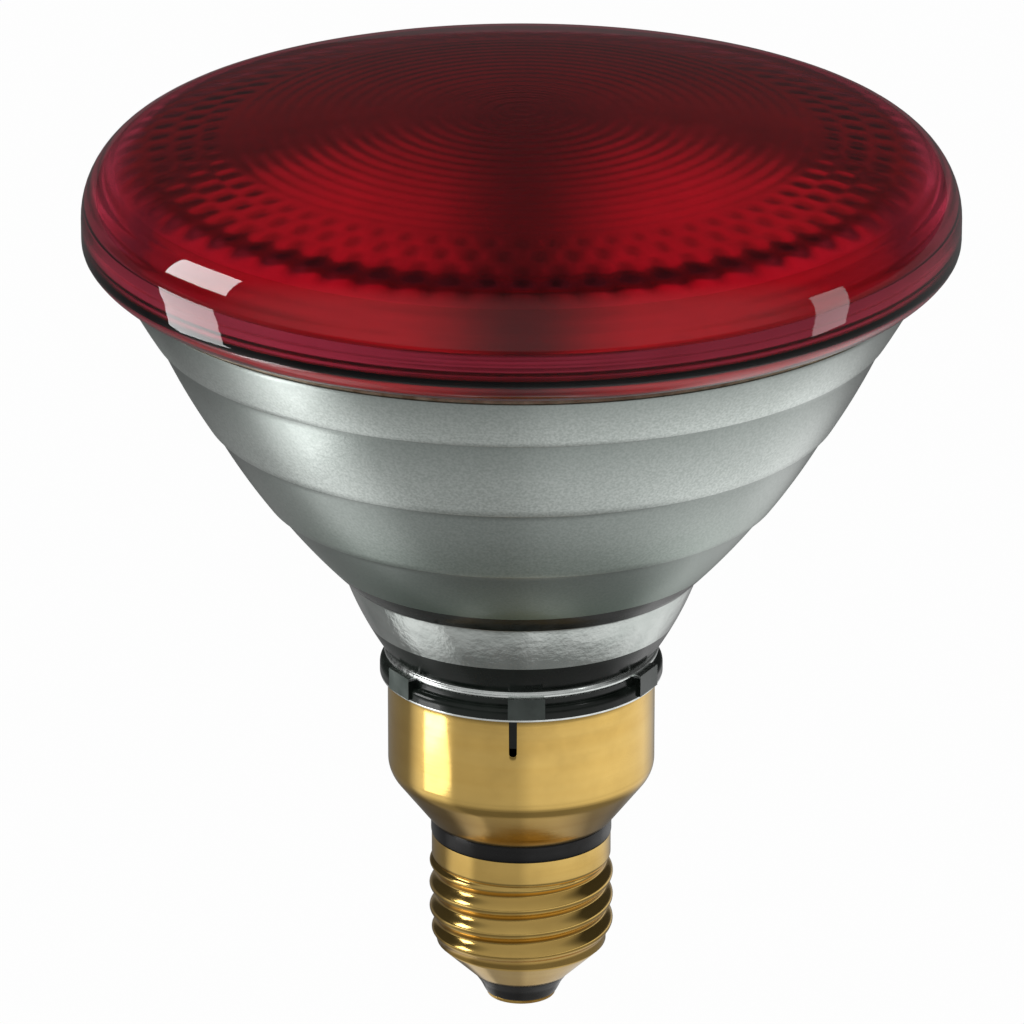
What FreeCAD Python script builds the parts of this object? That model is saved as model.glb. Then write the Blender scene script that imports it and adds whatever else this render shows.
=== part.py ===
import FreeCAD, Part
import math
import os
import Sketcher

doc = FreeCAD.newDocument("heat_lamp")
sheet = doc.addObject("Spreadsheet::Sheet", "sizes")


class Size:
    """A length that carries its number and the sheet formula it comes from."""

    def __init__(self, number, formula):
        self.number = number
        self.formula = formula

    def __add__(self, other):
        b = as_size(other)
        return Size(self.number + b.number, "(%s + %s)" % (self.formula, b.formula))

    def __sub__(self, other):
        b = as_size(other)
        return Size(self.number - b.number, "(%s - %s)" % (self.formula, b.formula))

    def __mul__(self, other):
        b = as_size(other)
        return Size(self.number * b.number, "(%s * %s)" % (self.formula, b.formula))

    def __truediv__(self, other):
        b = as_size(other)
        return Size(self.number / b.number, "(%s / %s)" % (self.formula, b.formula))


def as_size(value):
    if isinstance(value, Size):
        return value
    return Size(float(value), repr(float(value)))


def root(value):
    return Size(math.sqrt(value.number), "sqrt(%s)" % value.formula)


def size(alias, number):
    size.count = size.count + 1
    row = size.count
    sheet.set("A%d" % row, alias)
    sheet.set("B%d" % row, str(number))
    sheet.setAlias("B%d" % row, alias)
    return Size(float(number), "sizes.%s" % alias)


size.count = 0
ZERO = as_size(0)

# front glass
lens_radius = size("lens_radius", 61.0)
lens_top = size("lens_top", 135.0)
lens_wall = size("lens_wall", 4.0)
tuck_share = size("tuck_share", 0.1565)
rim_share = size("rim_share", 0.3093)
round_share = size("round_share", 0.4565)
rim_wall = size("rim_wall", 6.0)
rim_tuck = size("rim_tuck", 5.0)
tuck_radius = size("tuck_radius", 7.5)
ring_count = size("ring_count", 12)
ring_depth = size("ring_depth", 0.7)
ring_margin = size("ring_margin", 6.55)

# seal between the two glasses
seal_height = size("seal_height", 112.0)
seal_thick = size("seal_thick", 0.6)
seal_width = size("seal_width", 3.6)
seal_inset = size("seal_inset", 0.15)

# reflector
lip_height = size("lip_height", 68.3)
lip_radius = size("lip_radius", 26.925)
lip_depth = size("lip_depth", 1.9)
lip_drop = size("lip_drop", 1.9)
rim_set = size("rim_set", 0.71)
bowl_wall = size("bowl_wall", 3.0)
wall_slope = size("wall_slope", 1.15)
inner_curve_high = size("inner_curve_high", 285.0)
inner_curve_low = size("inner_curve_low", 190.0)
high_share = size("high_share", 0.8214)
middle_share = size("middle_share", 0.5232)
low_share = size("low_share", 0.2425)
ledge = size("ledge", 0.5)
band_curve = size("band_curve", 95.0)
neck_rise = size("neck_rise", 3.85)
neck_waist = size("neck_waist", 19.2)
neck_curve = size("neck_curve", 48.0)
collar_radius = size("collar_radius", 20.0)
collar_height = size("collar_height", 2.25)
collar_round = size("collar_round", 0.9)
heel_depth = size("heel_depth", 4.75)
floor_rise = size("floor_rise", 1.25)
cavity_radius = size("cavity_radius", 15.2)
lug_count = size("lug_count", 6)
lug_width = size("lug_width", 5.2)
lug_proud = size("lug_proud", 0.45)
lug_root = size("lug_root", 0.9)
lug_height = size("lug_height", 3.65)
lug_turn = size("lug_turn", 2.0)

# foot of the cap, from the contact's flat face up
solder_thick = size("solder_thick", 0.4)
solder_radius = size("solder_radius", 2.8)
solder_flat = size("solder_flat", 2.3)
eyelet_thick = size("eyelet_thick", 1.0)
eyelet_round = size("eyelet_round", 0.5)
eyelet_radius = size("eyelet_radius", 4.9)
eyelet_flat = size("eyelet_flat", 3.3)
shank_radius = size("shank_radius", 1.2)
shank_length = size("shank_length", 3.6)
shank_bore = size("shank_bore", 0.7)
moulded_fit = size("moulded_fit", 0.05)
glass_foot = size("glass_foot", 5.1)
glass_waist = size("glass_waist", 5.9)
foot_rise = size("foot_rise", 1.6)
glass_show = size("glass_show", 3.1)
glass_reach = size("glass_reach", 2.1)
glass_dish = size("glass_dish", 2.0)

# brass cap
brass_wall = size("brass_wall", 0.5)
shell_mouth = size("shell_mouth", 7.0)
shell_cone_height = size("shell_cone_height", 4.9)
thread_crest = size("thread_crest", 13.1)
thread_depth = size("thread_depth", 1.0)
thread_pitch = size("thread_pitch", 3.629)
thread_gap = size("thread_gap", 0.05)
thread_height = size("thread_height", 11.7)
thread_runout = size("thread_runout", 0.5)
thread_half = size("thread_half", 1.25)
ridge_round = size("ridge_round", 0.32)
ridge_shoulder_half = size("ridge_shoulder_half", 0.75)
ridge_crest_half = size("ridge_crest_half", 0.31)
shell_collar = size("shell_collar", 12.75)
plain_height = size("plain_height", 3.3)
ring_radius = size("ring_radius", 12.85)
ring_height = size("ring_height", 2.6)
ring_bore = size("ring_bore", 8.6)
spigot_reach = size("spigot_reach", 1.8)
spigot_step = size("spigot_step", 2.0)
spigot_fit = size("spigot_fit", 0.2)
rivet_reach = size("rivet_reach", 0.9)
skirt_radius = size("skirt_radius", 18.9)
skirt_mouth = size("skirt_mouth", 13.1)
cone_height = size("cone_height", 7.5)
skirt_wall_height = size("skirt_wall_height", 14.45)
bend_radius = size("bend_radius", 4.0)
skirt_fit = size("skirt_fit", 0.15)
slot_count = size("slot_count", 4)
slot_width = size("slot_width", 1.1)
slot_depth = size("slot_depth", 5.7)
slot_round = size("slot_round", 0.6)
slot_turn = size("slot_turn", -3.6)

# inside the glass and the cap
lead_offset = size("lead_offset", 9.5)
ferrule_radius = size("ferrule_radius", 4.0)
ferrule_wall = size("ferrule_wall", 0.4)
ferrule_drop = size("ferrule_drop", 3.2)
ferrule_set = size("ferrule_set", 1.2)
ferrule_fit = size("ferrule_fit", 0.05)
lead_hole = size("lead_hole", 1.6)
post_radius = size("post_radius", 0.75)
post_over = size("post_over", 1.8)
filament_rise = size("filament_rise", 21.2)
filament_radius = size("filament_radius", 0.9)
tube_radius = size("tube_radius", 3.0)
tube_wall = size("tube_wall", 0.9)
tube_drop = size("tube_drop", 8.0)
tube_tip = size("tube_tip", 4.0)
tube_tip_radius = size("tube_tip_radius", 0.6)
wire_radius = size("wire_radius", 0.4)
wire_drop = size("wire_drop", 5.8)
wire_clear = size("wire_clear", 2.2)
wire_inset = size("wire_inset", 7.2)
weld_gap = size("weld_gap", 0.6)
weld_run = size("weld_run", 3.3)
weld_length = size("weld_length", 5.5)
lead_clear = size("lead_clear", 3.5)

# heights, stacked up from the contact's flat face
eyelet_low = solder_thick
eyelet_edge = eyelet_low + eyelet_round
glass_low = eyelet_low + eyelet_thick
shank_top = glass_low + shank_length
glass_waist_height = glass_low + foot_rise
shell_low = glass_low + glass_show
shell_cone_top = shell_low + shell_cone_height
glass_top = shell_cone_top + glass_reach
thread_start = shell_cone_top + thread_gap + thread_half
collar_start = thread_start + thread_height + thread_runout
ring_low = collar_start + plain_height
skirt_low = ring_low + ring_height
skirt_bend = skirt_low + cone_height
collar_low = skirt_bend + skirt_wall_height
collar_top = collar_low + collar_height
lug_top = collar_low + lug_height
neck_low = collar_low + neck_rise
heel_low = collar_low - heel_depth
cavity_floor = collar_low + floor_rise
filament_height = cavity_floor + filament_rise
post_top = filament_height + post_over
tube_low = heel_low - tube_drop
neck_high = lip_height - lip_drop
lens_depth = lens_top - seal_height
rim_low = seal_height + lens_depth * tuck_share


def origin_plane(body, role):
    return [part for part in body.Origin.OriginFeatures if part.Role == role][0]


def new_body(name):
    body = doc.addObject("PartDesign::Body", name + "_body")
    body.Label = name
    return body


def new_sketch(body, name, role):
    sketch = body.newObject("Sketcher::SketchObject", name)
    sketch.AttachmentSupport = [(origin_plane(body, role), "")]
    sketch.MapMode = "FlatFace"
    return sketch


def pin(sketch, geometry, point, across, up):
    """Ties one sketch point to the sheet in both directions."""
    for kind, axis, value in (("DistanceX", -2, across), ("DistanceY", -1, up)):
        if abs(value.number) < 1e-9:
            sketch.addConstraint(Sketcher.Constraint("PointOnObject", geometry, point, axis))
        else:
            index = sketch.addConstraint(
                Sketcher.Constraint(kind, -1, 1, geometry, point, value.number))
            sketch.setExpression("Constraints[%d]" % index, value.formula)


def arc_between(p, q, radius, turn):
    """Arc from p to q; turn +1 has its centre to the left of the way from p to q."""
    chord = q.sub(p)
    half = chord.Length / 2
    side = FreeCAD.Vector(-chord.y, chord.x, 0).normalize()
    centre = p.add(chord * 0.5).add(side * (turn * math.sqrt(radius ** 2 - half ** 2)))
    first = math.atan2(p.y - centre.y, p.x - centre.x)
    last = math.atan2(q.y - centre.y, q.x - centre.x)
    circle = Part.Circle(centre, FreeCAD.Vector(0, 0, 1), radius)
    if turn > 0:
        return Part.ArcOfCircle(circle, first, last)
    return Part.ArcOfCircle(circle, last, first)


def outline(sketch, corners, bends=None, closed=True):
    """Draws a chain of lines and arcs through corners that follow the sheet."""
    bends = bends or {}
    points = [FreeCAD.Vector(x.number, y.number, 0) for x, y in corners]
    count = len(points) if closed else len(points) - 1
    ends = []
    for i in range(count):
        p = points[i]
        q = points[(i + 1) % len(points)]
        if i in bends:
            radius, turn = bends[i]
            g = sketch.addGeometry(arc_between(p, q, radius.number, turn), False)
            index = sketch.addConstraint(Sketcher.Constraint("Radius", g, radius.number))
            sketch.setExpression("Constraints[%d]" % index, radius.formula)
            ends.append((g, 1, 2) if turn > 0 else (g, 2, 1))
        else:
            g = sketch.addGeometry(Part.LineSegment(p, q), False)
            ends.append((g, 1, 2))
    for i in range(count if closed else count - 1):
        g, start, end = ends[i]
        nxt, nxt_start, nxt_end = ends[(i + 1) % count]
        sketch.addConstraint(Sketcher.Constraint("Coincident", g, end, nxt, nxt_start))
    for i in range(len(points)):
        if i < count:
            g, start, end = ends[i]
            pin(sketch, g, start, corners[i][0], corners[i][1])
        else:
            g, start, end = ends[i - 1]
            pin(sketch, g, end, corners[i][0], corners[i][1])


def turned(name, corners, bends=None):
    """A body of revolution about the lamp's axis from a half section."""
    body = new_body(name)
    sketch = new_sketch(body, name + "_section", "XZ_Plane")
    outline(sketch, corners, bends)
    doc.recompute()
    spin = body.newObject("PartDesign::Revolution", name + "_turn")
    spin.Profile = sketch
    spin.ReferenceAxis = (sketch, ["V_Axis"])
    spin.Angle = 360
    sketch.Visibility = False
    doc.recompute()
    return body


def around(body, feature, count, name):
    """Repeats a feature evenly about the axis."""
    ring = body.newObject("PartDesign::PolarPattern", name)
    ring.Originals = [feature]
    ring.Axis = (origin_plane(body, "Z_Axis"), [""])
    ring.Angle = 360
    ring.setExpression("Occurrences", count.formula)
    body.Tip = ring
    doc.recompute()
    return ring


def hole(body, name, across, radius, low, high):
    """A round hole up through a body, off the axis along X."""
    sketch = new_sketch(body, name + "_circle", "XY_Plane")
    spot = FreeCAD.Vector(across.number, 0, 0)
    g = sketch.addGeometry(Part.Circle(spot, FreeCAD.Vector(0, 0, 1), radius.number), False)
    index = sketch.addConstraint(Sketcher.Constraint("Radius", g, radius.number))
    sketch.setExpression("Constraints[%d]" % index, radius.formula)
    pin(sketch, g, 3, across, ZERO)
    sketch.setExpression("AttachmentOffset.Base.z", low.formula)
    cut = body.newObject("PartDesign::Pocket", name)
    cut.Profile = sketch
    cut.Reversed = True
    cut.setExpression("Length", (high - low).formula)
    sketch.Visibility = False
    doc.recompute()
    return cut


def wire(name, corners):
    """A bent round wire in the XZ plane; its first leg is upright."""
    body = new_body(name)
    path = new_sketch(body, name + "_path", "XZ_Plane")
    outline(path, corners, None, False)
    end = new_sketch(body, name + "_end", "XY_Plane")
    spot = FreeCAD.Vector(corners[0][0].number, 0, 0)
    g = end.addGeometry(Part.Circle(spot, FreeCAD.Vector(0, 0, 1), wire_radius.number), False)
    index = end.addConstraint(Sketcher.Constraint("Radius", g, wire_radius.number))
    end.setExpression("Constraints[%d]" % index, wire_radius.formula)
    pin(end, g, 3, corners[0][0], ZERO)
    end.setExpression("AttachmentOffset.Base.z", corners[0][1].formula)
    doc.recompute()
    pipe = body.newObject("PartDesign::AdditivePipe", name + "_pipe")
    pipe.Profile = end
    pipe.Spine = (path, ["Edge%d" % (i + 1) for i in range(len(corners) - 1)])
    pipe.Transition = "Right corner"
    path.Visibility = False
    end.Visibility = False
    doc.recompute()
    return body


# Front glass: a shallow dome, a round shoulder, a short upright rim that tucks in to the seal.
shoulder_radius = lens_depth * round_share
shoulder_height = seal_height + lens_depth * rim_share
shoulder_across = lens_radius - shoulder_radius
# the dome's radius, so that it runs smoothly into the shoulder
dome_rise = lens_top - shoulder_height
dome_square = shoulder_across * shoulder_across + dome_rise * dome_rise - shoulder_radius * shoulder_radius
dome_radius = dome_square / ((dome_rise - shoulder_radius) * 2)
dome_centre = lens_top - dome_radius
shoulder_reach = dome_radius - shoulder_radius
shoulder_rise = dome_radius - dome_rise
join_across = shoulder_across * dome_radius / shoulder_reach
join_height = dome_centre + shoulder_rise * dome_radius / shoulder_reach
seal_radius = lens_radius - rim_tuck
seal_inner = seal_radius - seal_width
inner_dome = dome_radius - lens_wall
inner_edge = lens_radius - rim_wall - shoulder_radius / 2
inner_edge_height = dome_centre + root(inner_dome * inner_dome - inner_edge * inner_edge)
lens_corners = [
    (ZERO, lens_top - lens_wall),
    (inner_edge, inner_edge_height),
    (lens_radius - rim_wall, shoulder_height),
    (seal_inner, seal_height),
    (seal_radius, seal_height),
    (lens_radius, rim_low),
    (lens_radius, shoulder_height),
    (join_across, join_height),
    (ZERO, lens_top),
]
lens_bends = {
    0: (inner_dome, -1),
    1: (shoulder_radius, -1),
    4: (tuck_radius, 1),
    6: (shoulder_radius, 1),
    7: (dome_radius, 1),
}
lens_blank = turned("lens_blank", lens_corners, lens_bends)


def lens_rings():
    """Moulded rings inside the front glass: grooves of V section, side by side on the inner dome."""
    span = inner_dome.number
    foot = dome_centre.number
    pitch = ((inner_edge - ring_margin) / ring_count).number
    cut_depth = ring_depth.number
    below = cut_depth / 2
    grooves = []
    for i in range(int(ring_count.number)):
        near = i * pitch
        far = near + pitch
        middle = (near + far) / 2

        def skin(across, lift):
            return FreeCAD.Vector(across, 0, foot + math.sqrt(span ** 2 - across ** 2) + lift)

        corners = [skin(near, 0), skin(near, -below), skin(far, -below), skin(far, 0)]
        corners.append(skin(middle, cut_depth))
        corners.append(corners[0])
        face = Part.Face(Part.makePolygon(corners))
        grooves.append(face.revolve(FreeCAD.Vector(0, 0, 0), FreeCAD.Vector(0, 0, 1), 360))
    return grooves[0].fuse(grooves[1:])


rings = doc.addObject("Part::Feature", "lens_rings")
rings.Shape = lens_rings()
front_lens = doc.addObject("Part::Cut", "front_lens")
front_lens.Base = lens_blank
front_lens.Tool = rings
front_lens.Label = "front_lens"

# Sealing bead, a little inside the two glasses it joins.
bead_outer = seal_radius - seal_inset
bead_low = seal_height - seal_thick
rim_seal = turned("rim_seal", [
    (seal_inner, bead_low),
    (bead_outer, bead_low),
    (bead_outer, seal_height),
    (seal_inner, seal_height),
])


bowl_top = bead_low
bowl_depth = bowl_top - lip_height
bowl_rim = seal_radius - rim_set
flare_gain = bowl_rim * bowl_rim - lip_radius * lip_radius


def flare(height):
    """Radius of the reflector's outside at a height: a parabola from the lip to the rim."""
    return root(lip_radius * lip_radius + flare_gain * (height - lip_height) / bowl_depth)


# Reflector: four stacked bands, each overhanging the next, a polished neck, a collar and a heel.
step_high = lip_height + bowl_depth * high_share
step_middle = lip_height + bowl_depth * middle_share
step_low = lip_height + bowl_depth * low_share
neck_radius = lip_radius - lip_depth
bowl_corners = [
    (cavity_radius, cavity_floor),
    (ZERO, cavity_floor),
    (ZERO, heel_low),
    (skirt_radius - brass_wall - skirt_fit, heel_low),
    (skirt_radius - brass_wall - skirt_fit, collar_low),
    (collar_radius, collar_low),
    (collar_radius, collar_top - collar_round),
    (collar_radius - collar_round, collar_top),
    (neck_waist, neck_low),
    (neck_radius, neck_high),
    (lip_radius - ledge, lip_height - ledge),
    (lip_radius, lip_height),
    (flare(step_low) - ledge / 2, step_low),
    (flare(step_low) + ledge / 2, step_low),
    (flare(step_middle) - ledge / 2, step_middle),
    (flare(step_middle) + ledge / 2, step_middle),
    (flare(step_high) - ledge / 2, step_high),
    (flare(step_high) + ledge / 2, step_high),
    (seal_radius, bowl_top),
    (seal_inner, bowl_top),
    (flare(step_middle) - bowl_wall * wall_slope, step_middle),
    (neck_radius - bowl_wall * wall_slope, lip_height),
]
bowl_bends = {
    6: (collar_round, 1),
    8: (neck_curve, 1),
    11: (band_curve, 1),
    13: (band_curve, 1),
    15: (band_curve, 1),
    17: (band_curve, 1),
    19: (inner_curve_high, -1),
    20: (inner_curve_low, -1),
}
bowl = turned("reflector_bowl", bowl_corners, bowl_bends)

# Lugs on the collar's flank, moulded in one piece with the reflector.
lug_plan = new_sketch(bowl, "lug_plan", "XY_Plane")
lug_inner = neck_waist - lug_root
lug_outer = collar_radius + lug_proud
lug_edge = lug_width / 2
lug_corners = [
    (lug_edge * -1.0, lug_outer * -1.0),
    (lug_edge, lug_outer * -1.0),
    (lug_edge, lug_inner * -1.0),
    (lug_edge * -1.0, lug_inner * -1.0),
]
outline(lug_plan, lug_corners)
lug_plan.setExpression("AttachmentOffset.Base.z", (collar_low + lug_proud).formula)
lug_plan.setExpression("AttachmentOffset.Rotation.Angle", lug_turn.formula)
lug = bowl.newObject("PartDesign::Pad", "lug")
lug.Profile = lug_plan
lug.setExpression("Length", (lug_top - collar_low - lug_proud).formula)
lug_plan.Visibility = False
doc.recompute()
around(bowl, lug, lug_count, "lug_ring")
hole(bowl, "tube_seat", ZERO, tube_radius, heel_low, cavity_floor)
for side, sign in (("left", -1.0), ("right", 1.0)):
    across = lead_offset * sign
    hole(bowl, "lead_hole_" + side, across, lead_hole, heel_low, cavity_floor)
    seat_radius = ferrule_radius + ferrule_fit
    hole(bowl, "ferrule_seat_" + side, across, seat_radius, heel_low, heel_low + ferrule_set)

# Brass skirt: a cone that opens to a cylinder, slotted at its upper edge, with a flat inner flange.
cone_run = skirt_radius - skirt_mouth
cone_slant = root(cone_run * cone_run + cone_height * cone_height)
# tangent length of a round between the cone and the cylinder
bend_length = bend_radius * cone_run / (cone_slant + cone_height)
bend_across = skirt_radius - bend_length * cone_run / cone_slant
bend_drop = skirt_bend - bend_length * cone_height / cone_slant
bend_top = skirt_bend + bend_length
bend_inner = bend_radius - brass_wall
# the wall's inner line, square to the cone
wall_across = brass_wall * cone_height / cone_slant
wall_up = brass_wall * cone_run / cone_slant
flange_top = skirt_low + brass_wall
spigot_radius = ring_radius - spigot_step
flange_hole = spigot_radius + spigot_fit
inner_low_across = skirt_mouth - brass_wall * (cone_slant - cone_run) / cone_height
skirt_corners = [
    (flange_hole, skirt_low),
    (skirt_mouth, skirt_low),
    (bend_across, bend_drop),
    (skirt_radius, bend_top),
    (skirt_radius, collar_low),
    (skirt_radius - brass_wall, collar_low),
    (skirt_radius - brass_wall, bend_top),
    (bend_across - wall_across, bend_drop + wall_up),
    (inner_low_across, flange_top),
    (flange_hole, flange_top),
]
skirt = turned("cap_skirt", skirt_corners, {2: (bend_radius, 1), 6: (bend_inner, -1)})
slot_plan = new_sketch(skirt, "slot_plan", "XZ_Plane")
slot_edge = slot_width / 2
slot_low = collar_low - slot_depth + slot_edge
slot_high = collar_low + slot_edge
slot_corners = [
    (slot_edge * -1.0, slot_low),
    (slot_edge, slot_low),
    (slot_edge, slot_high),
    (slot_edge * -1.0, slot_high),
]
outline(slot_plan, slot_corners, {0: (slot_round, 1)})
doc.recompute()
slot = skirt.newObject("PartDesign::Pocket", "slot")
slot.Profile = slot_plan
slot.setExpression("Length", (skirt_radius + brass_wall).formula)
slot_plan.Visibility = False
doc.recompute()
around(skirt, slot, slot_count, "slot_ring")
skirt.setExpression("Placement.Rotation.Angle", slot_turn.formula)

# Black ring that keeps the skirt apart from the screw shell.
shell_bore = thread_crest - thread_depth - brass_wall
low_spigot = shell_bore - spigot_fit
insulator_ring = turned("insulator_ring", [
    (ring_bore, ring_low - spigot_reach),
    (low_spigot, ring_low - spigot_reach),
    (low_spigot, ring_low),
    (ring_radius, ring_low),
    (ring_radius, skirt_low),
    (spigot_radius, skirt_low),
    (spigot_radius, flange_top + rivet_reach),
    (ring_bore, flange_top + rivet_reach),
])

# Screw shell with its rolled right-hand thread.
thread_root = thread_crest - thread_depth
shell_corners = [
    (shell_mouth - brass_wall, shell_low),
    (shell_mouth, shell_low),
    (thread_root, shell_cone_top),
    (thread_root, collar_start - thread_depth / 2),
    (shell_collar, collar_start),
    (shell_collar, ring_low),
    (shell_bore, ring_low),
    (shell_bore, shell_cone_top),
]
screw_shell = turned("screw_shell", shell_corners)
ridge_plan = new_sketch(screw_shell, "ridge_plan", "XZ_Plane")
ridge_foot = thread_root - brass_wall / 2
ridge_shoulder = thread_crest - ridge_round
ridge_corners = [
    (ridge_foot, thread_start - thread_half),
    (thread_root, thread_start - thread_half),
    (ridge_shoulder, thread_start - ridge_shoulder_half),
    (thread_crest, thread_start - ridge_crest_half),
    (thread_crest, thread_start + ridge_crest_half),
    (ridge_shoulder, thread_start + ridge_shoulder_half),
    (thread_root, thread_start + thread_half),
    (ridge_foot, thread_start + thread_half),
]
outline(ridge_plan, ridge_corners)
doc.recompute()
ridge = screw_shell.newObject("PartDesign::AdditiveHelix", "thread_ridge")
ridge.Profile = ridge_plan
ridge.ReferenceAxis = (ridge_plan, ["V_Axis"])
ridge.Mode = "pitch-height-angle"
ridge.LeftHanded = False
ridge.Reversed = False
ridge.setExpression("Pitch", thread_pitch.formula)
ridge.setExpression("Height", thread_height.formula)
ridge_plan.Visibility = False
doc.recompute()
screw_shell.Placement = FreeCAD.Placement(
    FreeCAD.Vector(0, 0, 0), FreeCAD.Rotation(FreeCAD.Vector(0, 0, 1), 180))

# Black glass moulded into the foot of the shell.
glass_inner = shell_bore - moulded_fit
glass_step = shell_mouth - brass_wall - moulded_fit
glass_hole = shank_radius + moulded_fit
base_insulator = turned("base_insulator", [
    (glass_hole, glass_low),
    (glass_foot, glass_low),
    (glass_waist, glass_waist_height),
    (shell_mouth, shell_low),
    (glass_step, shell_low),
    (glass_inner, shell_cone_top),
    (glass_inner, glass_top),
    (glass_hole, glass_top - glass_dish),
])

# Centre contact: a brass eyelet with a solder dot that the lead comes through to.
centre_contact = turned("centre_contact", [
    (shank_bore, eyelet_low),
    (eyelet_flat, eyelet_low),
    (eyelet_radius, eyelet_edge),
    (eyelet_radius, glass_low),
    (shank_radius, glass_low),
    (shank_radius, shank_top),
    (shank_bore, shank_top),
])
contact_solder = turned("contact_solder", [
    (ZERO, ZERO),
    (solder_flat, ZERO),
    (solder_radius, eyelet_low),
    (ZERO, eyelet_low),
])

# Exhaust tube, drawn to a closed tip below the heel.
tube_bore = tube_radius - tube_wall
exhaust_tube = turned("exhaust_tube", [
    (tube_bore, cavity_floor),
    (tube_bore, tube_low + tube_tip),
    (ZERO, tube_low + tube_tip / 2),
    (ZERO, tube_low),
    (tube_tip_radius, tube_low),
    (tube_radius, tube_low + tube_tip),
    (tube_radius, cavity_floor),
])

# Two metal cups sealed into the heel, each with an upright post of its own.
cup_floor = heel_low - ferrule_drop
cup_inner = ferrule_radius - ferrule_wall
for side, sign in (("left", -1.0), ("right", 1.0)):
    cup = turned("ferrule_" + side, [
        (ZERO, cup_floor),
        (ferrule_radius, cup_floor),
        (ferrule_radius, heel_low + ferrule_set),
        (cup_inner, heel_low + ferrule_set),
        (cup_inner, cup_floor + ferrule_wall),
        (ZERO, cup_floor + ferrule_wall),
    ])
    cup.setExpression("Placement.Base.x", (lead_offset * sign).formula)
    post = doc.addObject("Part::Cylinder", "lead_post_" + side)
    post.Label = "lead_post_" + side
    post.setExpression("Radius", post_radius.formula)
    post.setExpression("Height", (post_top - cup_floor - ferrule_wall).formula)
    post.setExpression("Placement.Base.x", (lead_offset * sign).formula)
    post.setExpression("Placement.Base.z", (cup_floor + ferrule_wall).formula)

filament = doc.addObject("Part::Cylinder", "filament")
filament.Label = "filament"
filament_run = (lead_offset - post_radius) * 2
filament.setExpression("Radius", filament_radius.formula)
filament.setExpression("Height", filament_run.formula)
filament.Placement = FreeCAD.Placement(
    FreeCAD.Vector(0, 0, 0), FreeCAD.Rotation(FreeCAD.Vector(0, 1, 0), 90))
filament.setExpression("Placement.Base.x", (filament_run / -2.0).formula)
filament.setExpression("Placement.Base.z", filament_height.formula)

# Leads inside the cap: one to the screw shell, one down to the centre contact.
wire_bend_high = cup_floor - wire_drop
wire_bend_low = flange_top + wire_clear
weld_high = ring_low - spigot_reach - weld_gap
weld_low = weld_high - weld_run
weld_across = shell_bore - wire_radius
shell_lead = wire("shell_lead", [
    (lead_offset, cup_floor),
    (lead_offset, wire_bend_high),
    (wire_inset, wire_bend_low),
    (wire_inset, weld_high),
    (weld_across, weld_low),
    (weld_across, weld_low - weld_length),
])
contact_lead = wire("contact_lead", [
    (lead_offset, cup_floor),
    (lead_offset, wire_bend_high),
    (ZERO, glass_top + lead_clear),
    (ZERO, eyelet_low),
])
shell_lead.Placement = FreeCAD.Placement(
    FreeCAD.Vector(0, 0, 0), FreeCAD.Rotation(FreeCAD.Vector(0, 0, 1), 180))

doc.recompute()

nodes = [
    "front_lens",
    "rim_seal",
    "reflector_bowl",
    "cap_skirt",
    "insulator_ring",
    "screw_shell",
    "base_insulator",
    "centre_contact",
    "contact_solder",
    "exhaust_tube",
    "ferrule_left",
    "ferrule_right",
    "lead_post_left",
    "lead_post_right",
    "filament",
    "shell_lead",
    "contact_lead",
]
os.makedirs("parts", exist_ok=True)
for item in doc.Objects:
    if "Invalid" in item.State or "Error" in item.State:
        raise RuntimeError("%s did not build: %s" % (item.Label, item.State))
for node in nodes:
    made = [item for item in doc.Objects if item.Label == node][0].Shape
    if made.isNull() or not made.isValid() or len(made.Solids) != 1:
        raise RuntimeError("%s is not one sound solid" % node)
    made.exportStep("parts/%s.step" % node)
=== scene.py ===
import math

import bpy
import numpy as np
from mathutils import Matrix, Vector


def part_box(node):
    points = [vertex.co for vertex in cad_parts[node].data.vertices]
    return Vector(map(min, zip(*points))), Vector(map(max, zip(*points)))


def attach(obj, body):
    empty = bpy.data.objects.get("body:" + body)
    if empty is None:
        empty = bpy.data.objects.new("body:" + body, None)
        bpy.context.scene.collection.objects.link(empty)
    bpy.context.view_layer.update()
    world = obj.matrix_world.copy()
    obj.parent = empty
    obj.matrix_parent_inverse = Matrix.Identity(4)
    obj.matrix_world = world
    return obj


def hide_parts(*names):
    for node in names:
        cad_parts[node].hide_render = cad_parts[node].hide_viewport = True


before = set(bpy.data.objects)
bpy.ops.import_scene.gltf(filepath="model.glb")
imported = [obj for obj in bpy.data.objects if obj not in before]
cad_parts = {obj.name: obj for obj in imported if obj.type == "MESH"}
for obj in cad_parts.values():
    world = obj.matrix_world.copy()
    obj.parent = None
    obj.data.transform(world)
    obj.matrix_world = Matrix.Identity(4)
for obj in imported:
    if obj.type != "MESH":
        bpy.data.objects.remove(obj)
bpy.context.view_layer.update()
mm = 0.001
tau = 2 * math.pi
tiny = 1e-9  # margin for rounding
poleSpan = 1e-7  # a row narrower than this, in metres, is one point


# A stretch of outline from p to q in (radius, height): straight, or an arc of the given radius,
# positive with its centre left of the way and negative with it right.
def stretch(p, q, bend, steps):
    p, q = np.array(p, float), np.array(q, float)
    t = np.linspace(0, 1, steps, endpoint=False)[:, None]
    if not bend:
        return p + (q - p) * t
    way = q - p
    half = np.hypot(*way) / 2
    left = np.array((-way[1], way[0])) / (2 * half)
    centre = (p + q) / 2 + left * math.copysign(math.sqrt(bend ** 2 - half ** 2), bend)
    first = math.atan2(*(p - centre)[::-1])
    sweep = math.copysign(2 * math.asin(half / abs(bend)), bend)
    angle = first + sweep * t
    return centre + abs(bend) * np.hstack((np.cos(angle), np.sin(angle)))


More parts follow.
